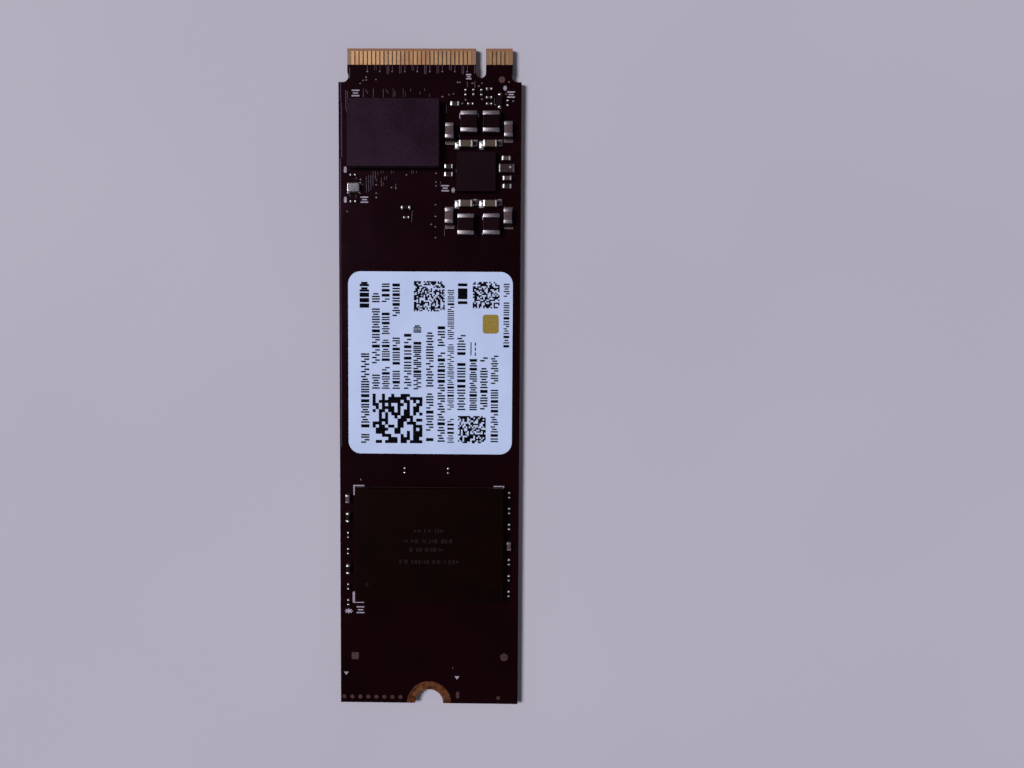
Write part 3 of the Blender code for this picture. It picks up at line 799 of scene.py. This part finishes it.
# Chips: length of a terminal, of the solder beyond it, radius of the long edges, finish of the terminals,
# and whether solder covers them altogether
Case = namedtuple("Case", "terminal fillet edge finish covered")
CHIP_0201 = Case(0.13, 0.08, 0.03, WETTED, True)
CHIP_0402 = Case(0.17, 0.1, 0.04, WETTED, False)
COVERED_0402 = Case(0.22, 0.1, 0.04, WETTED, True)
FLASH_CASE = Case(0.2, 0.1, 0.04, TIN, False)
OUTPUT_CASE = Case(0.18, 0.12, 0.05, WETTED, False)
BULK_CASE = Case(0.4, 0.12, 0.06, TIN, False)
INDUCTOR_CASE = Case(0.47, 0.1, 0.09, TIN, False)
SENSOR_CASE = Case(0.15, 0.08, 0.03, TIN, False)

# How far a terminal stands proud of the body, how far the body reaches into it, and a resistor's film: its
# share of the chip's width, and its height
WRAP = 0.015
BODY_OVERLAP = 0.03
FILM_SHARE = 0.86
FILM_HEIGHT = 0.05

# Solder below a terminal: how far beyond it, as a share of the fillet, and how high, as a share of the chip
FILLET_PROFILE = ((0, 0.62), (0.3, 0.36), (0.62, 0.16), (0.86, 0.07), (1, 0.05))

# In the flash package's columns no 0201 chip is longer than this, and two larger chips are dark too
LONGEST_0201 = 0.9
DARK_CAPACITORS = ("flash_capacitor_02", "flash_capacitor_05")

# Slots of a part's materials: the metal is its terminals, leads, lid or balls
BODY, METAL, FOOT, COVER = range(4)

# For each family of nodes: its case, its body's material, the film on it if it has one, and its slot
SMALL_CAPACITOR = (CHIP_0201, BROWN, None, "ceramic_tan")
SMALL_RESISTOR = (CHIP_0201, ALUMINA, FILM, "ceramic_dark")
RESISTOR = (CHIP_0402, ALUMINA, FILM, "ceramic_dark")
FAMILIES = {
    "inductor": (INDUCTOR_CASE, COIL_BODY, None, "coil_body"),
    "bulk_capacitor": (BULK_CASE, PINK, None, "ceramic_pink"),
    "output_capacitor": (OUTPUT_CASE, TAN, None, "ceramic_tan"),
    "supply_capacitor": (CHIP_0402, TAN, None, "ceramic_tan"),
    "coupling_capacitor": SMALL_CAPACITOR,
    "crystal_capacitor": SMALL_CAPACITOR,
    "reset_capacitor": (COVERED_0402, BROWN, None, "ceramic_tan"),
    "flash_capacitor": (FLASH_CASE, PINK, None, "ceramic_pink"),
    "sense_resistor": RESISTOR,
    "feedback_resistor": RESISTOR,
    "series_resistor": RESISTOR,
    "pull_up_resistor": SMALL_RESISTOR,
    "reset_resistor": SMALL_RESISTOR,
    "current_sensor": (SENSOR_CASE, SENSOR, None, "ceramic_dark"),
}


def add_terminal(bm, side, end, case, width, height):
    """A plated cap whose outer edges are rounded, from the body's face to the chip's end."""
    radius = case.edge
    sections = []
    for angle in (0, 30, 60, 90):
        inset = radius * (1 - math.sin(math.radians(angle)))
        along = end - radius * (1 - math.cos(math.radians(angle)))
        sections.append((along, inset))
    sections += [(end - case.terminal, 0), (end - case.terminal, WRAP)]
    rings = []
    for along, inset in sections:
        rings.append(lengthwise(side * along, width - 2 * inset, inset, height - inset, radius))
    skin(bm, rings, METAL)


def add_fillet(bm, side, end, case, width, height):
    """Solder that climbs the terminal in a hollow curve, on a pad a little wider than the chip."""
    inner = (end + (0.02 - case.terminal * 0.5), 0.3)
    outer = [(end + reach * case.fillet, climb) for reach, climb in FILLET_PROFILE]
    rings = []
    for along, climb in (inner, *outer):
        top = max(climb * height, 0.02)
        rings.append(lengthwise(side * along, width + 0.03 * (1 - climb), -SUNK, top, 0.02))
    skin(bm, rings, FOOT)


def add_drop(bm, side, end, case, width, height):
    """Solder melted over the whole end of a small chip."""
    length = case.terminal + case.fillet
    outline = rectangle(length, width, 0.45 * length, 4)
    along = side * (end + case.fillet - length / 2)
    shoulder = 0.55 * height
    dome(bm, outline, along, 0, shoulder, height - shoulder, METAL, wall=shoulder + SUNK)


def settle(bm, low, high, turn=0):
    """Carries a part built about the origin to the foot of its node's box."""
    middle = (low + high) / 2
    place = Matrix.Translation((middle.x, middle.y, low.z))
    bm.transform(place @ Matrix.Rotation(math.radians(turn), 4, "Z"))


def make_chip(node, case, body, film, slot):
    """A two-terminal chip in the space of its node: body, film, and soldered terminals or drops."""
    low, high = node_box(node)
    size = high - low
    turned = size.y > size.x
    length, width = (size.y, size.x) if turned else (size.x, size.y)
    if slot == "ceramic_pink" and length < LONGEST_0201:
        case = CHIP_0201
        body = BROWN
    if node in DARK_CAPACITORS:
        case = COVERED_0402
        body = BROWN
    height = size.z
    end = length / 2 - case.fillet
    inner = end - case.terminal + BODY_OVERLAP
    body_top = height - WRAP - (FILM_HEIGHT if film else 0)
    bm = bmesh.new()
    rings = [lengthwise(x, width - 2 * WRAP, WRAP, body_top, case.edge) for x in (-inner, inner)]
    skin(bm, rings, BODY)
    if film:
        cover = rectangle(2 * inner, FILM_SHARE * width, 0.03)
        slab(bm, cover, 0, 0, body_top - 0.02, height - WRAP, COVER, 0.02)
    for side in (-1, 1):
        if case.covered:
            add_drop(bm, side, end, case, width, height)
        else:
            add_terminal(bm, side, end, case, width, height)
            add_fillet(bm, side, end, case, width, height)
    settle(bm, low, high, 90 * turned)
    new_piece("soldered_" + node, bm, (body, case.finish, SHADED_FILLET, film or body), (node,))


def make_chips():
    """Every two-terminal chip, by the family that its node's name starts with."""
    for node in sorted(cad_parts):
        for family, (case, body, film, slot) in FAMILIES.items():
            if node.startswith(family):
                make_chip(node, case, body, film, slot)


def make_diode():
    """The two-lead diode: a moulded body with draft, and a flat lead at each end in solder."""
    low, high = node_box("esd_diode")
    width = high.x - low.x
    height = high.z - low.z
    lead = 0.35
    end = (high.y - low.y) / 2
    body = end - lead
    bm = bmesh.new()
    levels = ((0.03, 0.95), (0.4 * height, 1), (height - 0.04, 0.96), (height, 0.86))
    skin(bm, [[(x * s, y * s, z) for x, y in rectangle(width, 2 * body, 0.04)] for z, s in levels], BODY)
    for side in (-1, 1):
        slab(bm, rectangle(0.34, lead, 0.04), 0, side * (body + lead / 2), -SUNK, 0.05, FOOT)
        dome(bm, rectangle(0.3, lead - 0.04, 0.1), 0, side * (body + lead / 2), 0.04, 0.09, FOOT)
        slab(bm, rectangle(0.24, 0.12, 0.03), 0, side * (body + 0.02), 0.02, 0.16, METAL, 0.02)
    settle(bm, low, high)
    materials = (POWER_MOULD, TIN, SOLDER)
    new_piece("soldered_esd_diode", bm, materials, ("esd_diode",))


def make_crystal():
    """A ceramic tub with a seam-welded lid, soldered on four pads."""
    low, high = node_box("crystal_base")
    lid_top = node_box("crystal_lid")[1].z
    width = high.x - low.x
    length = high.y - low.y
    base = high.z - low.z
    top = lid_top - low.z
    bm = bmesh.new()
    slab(bm, rectangle(width, length, 0.09), 0, 0, 0, base, BODY, 0.02)
    slab(bm, rectangle(width - 0.1, length - 0.1, 0.08), 0, 0, base - 0.01, base + 0.03, METAL, 0.01)
    levels = ((0, base), (0, top - 0.06), (0.02, top - 0.02), (0.06, top))
    rings = []
    for inset, z in levels:
        outline = rectangle(width - 0.16 - 2 * inset, length - 0.16 - 2 * inset, 0.1)
        rings.append([(x, y, z) for x, y in outline])
    skin(bm, rings, METAL)
    for x in (-1, 1):
        for y in (-1, 1):
            corner = (x * (width / 2 - 0.12), y * (length / 2 - 0.1))
            slab(bm, rectangle(0.34, 0.3, 0.04), *corner, -SUNK, 0.05, FOOT)
    settle(bm, low, high)
    materials = (SENSOR, LID_METAL, SOLDER)
    new_piece("soldered_crystal", bm, materials, ("crystal_base", "crystal_lid"))


# Packages and label

CAP_FINISHES = (("controller_cap", CONTROLLER_MOULD), ("flash_cap", FLASH_MOULD),
                ("power_chip", POWER_MOULD), ("label", PAPER))

# Rows of marks on the flash package: y, left, right
MARK_ROWS = ((-18.1, -1.6, 2.0), (-19.35, -3.0, 3.0), (-20.4, -2.1, 2.1), (-21.9, -3.4, 3.6))


def carrier_face(face):
    """The slot of a substrate's face: its laminate body, or the balls below it."""
    return METAL if face.calc_center_median().z < BALL_TOP - NEAR else BODY


def make_packages():
    """Both packages' substrates on their balls, and the finish of the CAD nodes that stay as they are."""
    for package in ("controller", "flash"):
        node = package + "_substrate"
        copy_node(package + "_carrier", node, (LAMINATE_EDGE, SOLDER), carrier_face)
    for node, material in CAP_FINISHES:
        for material_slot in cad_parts[node].material_slots:
            material_slot.material = material


def make_laser_marks():
    """Faint rows of plain marks on the flash package, and the pale floor of its first pin's dimple."""
    low, high = node_box("flash_cap")
    rng = random.Random(11)
    bm = bmesh.new()
    for y, x, right in MARK_ROWS:
        while x < right:
            width = rng.choice((0.16, 0.3, 0.38))
            stroke = rectangle(width, rng.choice((0.5, 0.5, 0.3)), 0.03, 1)
            slab(bm, stroke, x, y, high.z - MARK_RISE, high.z + MARK_RISE)
            x += width + rng.choice((0.12, 0.2, 0.4))
    pin = low.xy + DIMPLE_PLACE
    floor = high.z - DIMPLE_DEPTH
    slab(bm, circle(DIMPLE_RADIUS), *pin, floor - MARK_RISE, floor + MARK_RISE)
    new_piece("laser_marks", bm, (LASER_MARK,))


# Legend: plain marks only, no lettering

# Tags and stars: x, y, width, length. Strokes along the card: x, start, end, width. Corners: x, y, reach
# across and along the card, and the strokes of the two arms.
TAGS = ((-8.95, 34.7, 0.8, 0.8), (1.87, 23.42, 0.8, 0.75), (-7.92, 22.02, 0.8, 0.75),
        (9.75, 34.55, 0.8, 0.75), (-8.52, -28.3, 0.85, 0.9), (4.65, 36.65, 0.5, 0.6))
STARS = ((9.03, 35.31, 0.52, 0.7), (2.83, 23.2, 0.5, 0.72), (-9.98, -28.47, 1.08, 0.68))
STROKES = ((-10.22, 25.4, 25.8, 0.34), (-10.22, 21.8, 22.2, 0.34), (3.6, 32.3, 31.7, 0.09),
           (5.87, 32.3, 31.9, 0.09), (6.4, 20.1, 19.7, 0.09), (6.4, 18.1, 17.9, 0.09))
CORNERS = ((-9.36, -12.72, 1.35, -1.25, 0.15, 0.16), (9.2, -12.7, -1.3, -0.32, 0.13, 0.12),
           (-9.49, -27.43, 1.4, 1.4, 0.1, 0.27))
ARROWS = ((-10.33, -36.3), (3.46, -36.72))
ARROW = ((0.3, 0.16), (-0.3, 0.16), (0, -0.26))


def add_tag(bm, x, y, width, length):
    """Three plain strokes in the place of a part's designation."""
    for share, reach in ((-0.4, 0.5), (0.0, 0.3), (0.4, 0.5)):
        level = y + share * length
        bar(bm, x - reach * width, level, x + reach * width, level, 0.16, CARD_TOP, INK_RISE)


def add_star(bm, x, y, width, length):
    """A blunt eight-pointed mark beside a part's first pin."""
    outline = []
    for i, (px, py) in enumerate(circle(0.5, 32)):
        reach = (1, 0.82, 0.46, 0.82)[i % 4]
        outline.append((width * reach * px, length * reach * py))
    slab(bm, outline, x, y, CARD_TOP - SUNK, CARD_TOP + INK_RISE)


def add_corner(bm, x, y, across, along, stroke_across, stroke_along):
    """A right-angled mark from its outer corner, with the signed reach and the stroke of each arm."""
    side = math.copysign(stroke_along, across)
    rise = math.copysign(stroke_across, along)
    outline = ((0, 0), (across, 0), (across, rise), (side, rise), (side, along), (0, along))
    rings = []
    for level in (CARD_TOP - SUNK, CARD_TOP + INK_RISE):
        rings.append([(x + px, y + py, level) for px, py in outline])
    skin(bm, rings)


def make_legend():
    """The legend's marks, and the dot on the current sensor."""
    bm = bmesh.new()
    for tag in TAGS:
        add_tag(bm, *tag)
    for star in STARS:
        add_star(bm, *star)
    for x, start, end, width in STROKES:
        bar(bm, x, start, x, end, width, CARD_TOP, INK_RISE)
    for corner in CORNERS:
        add_corner(bm, *corner)
    for x, y in ARROWS:
        slab(bm, ARROW, x, y, CARD_TOP - SUNK, CARD_TOP + INK_RISE)
    dot_top = node_box("current_sensor")[1].z
    slab(bm, circle(0.14), 9.7, 25.86, dot_top - 0.03, dot_top + 0.006)
    new_piece("legend_marks", bm, (LEGEND_INK,))


# The label's print: plain strokes and blocks, no lettering

# Columns of print, which run up the label: left and right edge, start, end, spacing, stroke
PRINT_COLUMNS = (
    (-8.35, -7.35, -7.5, 3.6, 0.6, 0.19),
    (-8.5, -7.35, 9.0, 12.25, 0.66, 0.26),
    (-7.0, -6.05, -0.85, 10.9, 0.62, 0.18),
    (-5.8, -4.85, -0.85, 8.6, 0.54, 0.16),
    (-5.8, -4.85, 9.7, 12.1, 0.56, 0.17),
    (-4.5, -3.6, -0.85, 5.5, 0.6, 0.17),
    (-4.5, -3.6, 8.0, 12.1, 0.62, 0.18),
    (-3.1, -2.2, -0.85, 6.1, 0.7, 0.18),
    (-1.95, -1.0, -0.9, 7.0, 0.5, 0.17),
    (-0.4, 0.5, -7.3, 6.2, 0.66, 0.19),
    (1.0, 1.9, -7.3, 7.0, 0.66, 0.19),
    (2.2, 3.0, -7.4, 11.3, 0.5, 0.13),
    (3.4, 4.4, -3.4, 5.9, 0.66, 0.18),
    (4.9, 5.8, -3.4, 3.0, 0.55, 0.17),
    (6.2, 7.1, -3.3, 3.2, 0.65, 0.19),
    (7.5, 8.4, -7.3, 3.4, 0.6, 0.17),
    (9.0, 9.7, 4.2, 12.1, 0.56, 0.15),
)
# Squares of blocks: left, right, bottom, top, blocks along a side
BLOCK_SQUARES = (
    (-6.95, -0.85, -7.5, -1.45, 16),
    (-1.9, 1.85, 8.6, 12.25, 22),
    (3.5, 6.9, -7.45, -4.1, 18),
    (5.25, 8.5, 9.0, 12.2, 18),
)
# Single strokes: left, bottom, right, top
PRINT_STROKES = (
    (5.0, 3.25, 5.12, 4.9),
    (5.52, 3.25, 5.66, 3.65),
    (5.52, 3.85, 5.66, 4.25),
    (5.52, 4.45, 5.66, 4.85),
    (3.45, 9.5, 4.6, 9.85),
    (3.45, 10.1, 4.6, 11.4),
    (3.45, 11.65, 4.6, 12.0),
)
# Shares: of a place that its strokes fill, of the places that stay empty, and of the blocks that are dark
PLACE_FILLED = 0.8
PLACES_EMPTY = 0.1
BLOCKS_DARK = 0.58


def add_print(bm, x0, y0, x1, y1):
    """A rectangle of ink on the label."""
    outline = [(x1 - x0, y1 - y0), (0, y1 - y0), (0, 0), (x1 - x0, 0)]
    levels = (LABEL_TOP - PRINT_SUNK, LABEL_TOP + INK_RISE)
    skin(bm, [[(x0 + px, y0 + py, z) for px, py in outline] for z in levels])


def add_column(bm, rng, left, right, start, end, spacing, stroke):
    """Greeked print: at each place a few separate strokes across the column, with gaps here and there."""
    third = (right - left) / 3
    wide = PLACE_FILLED * spacing
    count = round((end - start) / spacing)
    for i in range(count):
        low = start + i * (end - start) / count
        high = low + wide
        if 0 < i < count - 1 and rng.random() < PLACES_EMPTY:
            continue
        kind = rng.randrange(4)
        if kind == 0:
            add_print(bm, left, low, right, low + stroke)
            add_print(bm, left, high - stroke, right, high)
        if kind == 1:
            add_print(bm, left, low, right, low + stroke)
            add_print(bm, left + 0.5 * third, high - stroke, right - 0.5 * third, high)
        if kind == 2:
            add_print(bm, left, low, left + 1.8 * third, low + stroke)
            add_print(bm, right - 1.8 * third, high - stroke, right, high)
        if kind == 3:
            middle = (low + high) / 2
            add_print(bm, left, middle - stroke, right, middle + stroke)


def add_blocks(bm, rng, left, right, bottom, top, count):
    """A square of random dark blocks, those side by side in a row made as one."""
    step_x = (right - left) / count
    step_y = (top - bottom) / count
    for row in range(count):
        run = None
        for column in range(count + 1):
            dark = column < count and rng.random() < BLOCKS_DARK
            if dark and run is None:
                run = column
            if not dark and run is not None:
                y = bottom + row * step_y
                add_print(bm, left + run * step_x, y, left + column * step_x, y + step_y)
                run = None


def make_label_print():
    """The label's columns and strokes, its squares of blocks, and a plain patch."""
    rng = random.Random(23)
    bm = bmesh.new()
    for column in PRINT_COLUMNS:
        add_column(bm, rng, *column)
    for stroke in PRINT_STROKES:
        add_print(bm, *stroke)
    new_piece("label_print", bm, (LABEL_INK,))
    bm = bmesh.new()
    for square in BLOCK_SQUARES:
        add_blocks(bm, rng, *square)
    new_piece("label_blocks", bm, (LABEL_INK,))
    bm = bmesh.new()
    slab(bm, rectangle(1.95, 2.3, 0.35), 7.45, 7.1, LABEL_TOP - PRINT_SUNK, LABEL_TOP + INK_RISE)
    new_piece("label_patch", bm, (YELLOW_INK,))


# Stage

def make_floor():
    """A plain square."""
    bm = bmesh.new()
    half = FLOOR_SIZE / 2 * MM
    level = -FLOOR_DROP * MM
    corners = ((-half, -half), (half, -half), (half, half), (-half, half))
    bm.faces.new([bm.verts.new((x, y, level)) for x, y in corners])
    mesh = bpy.data.meshes.new("floor")
    bm.to_mesh(mesh)
    bm.free()
    mesh.materials.append(floor_surface())
    add_object("floor", mesh)


def make_world():
    """A soft room, graded from the horizon to overhead."""
    world = bpy.data.worlds.new("room")
    world.use_nodes = True
    tree = world.node_tree
    background = tree.nodes["Background"]
    place = tree.nodes.new("ShaderNodeTexCoord")
    split = tree.nodes.new("ShaderNodeSeparateXYZ")
    ramp = tree.nodes.new("ShaderNodeValToRGB")
    set_stops(ramp.color_ramp, ROOM)
    tree.links.new(place.outputs["Generated"], split.inputs["Vector"])
    tree.links.new(split.outputs["Z"], ramp.inputs["Fac"])
    tree.links.new(ramp.outputs["Color"], background.inputs["Color"])
    bpy.context.scene.world = world


def make_lamp(name, direction, size, watts):
    """A square lamp that faces the card from this direction."""
    data = bpy.data.lights.new(name, "AREA")
    data.shape = "SQUARE"
    data.size = size * MM
    data.energy = watts
    lamp = add_object(name, data)
    lamp.location = Vector(direction).normalized() * LAMP_DISTANCE * MM
    lamp.rotation_euler = Vector(direction).to_track_quat("Z", "Y").to_euler()


def make_camera():
    """A camera at the photograph's viewing angle."""
    data = bpy.data.cameras.new("camera")
    data.sensor_fit = "HORIZONTAL"
    data.sensor_width = SENSOR_WIDTH
    data.lens = FOCAL_LENGTH
    data.clip_start = CLIP_START * MM
    camera = add_object("camera", data)
    camera.location = Vector(CAMERA_PLACE) * MM
    camera.rotation_euler = Euler([math.radians(angle) for angle in CAMERA_TILT])
    bpy.context.scene.camera = camera


make_camera()
make_card()
make_ring_vias()
make_copper()
make_underside_copper()
make_underside_pads()
make_pads()
make_power_pads()
make_chips()
make_diode()
make_crystal()
make_packages()
make_laser_marks()
make_legend()
make_label_print()
make_floor()
make_world()
make_lamp("window", **WINDOW)
make_lamp("glint", **GLINT)
bpy.context.scene.view_settings.view_transform = "Standard"
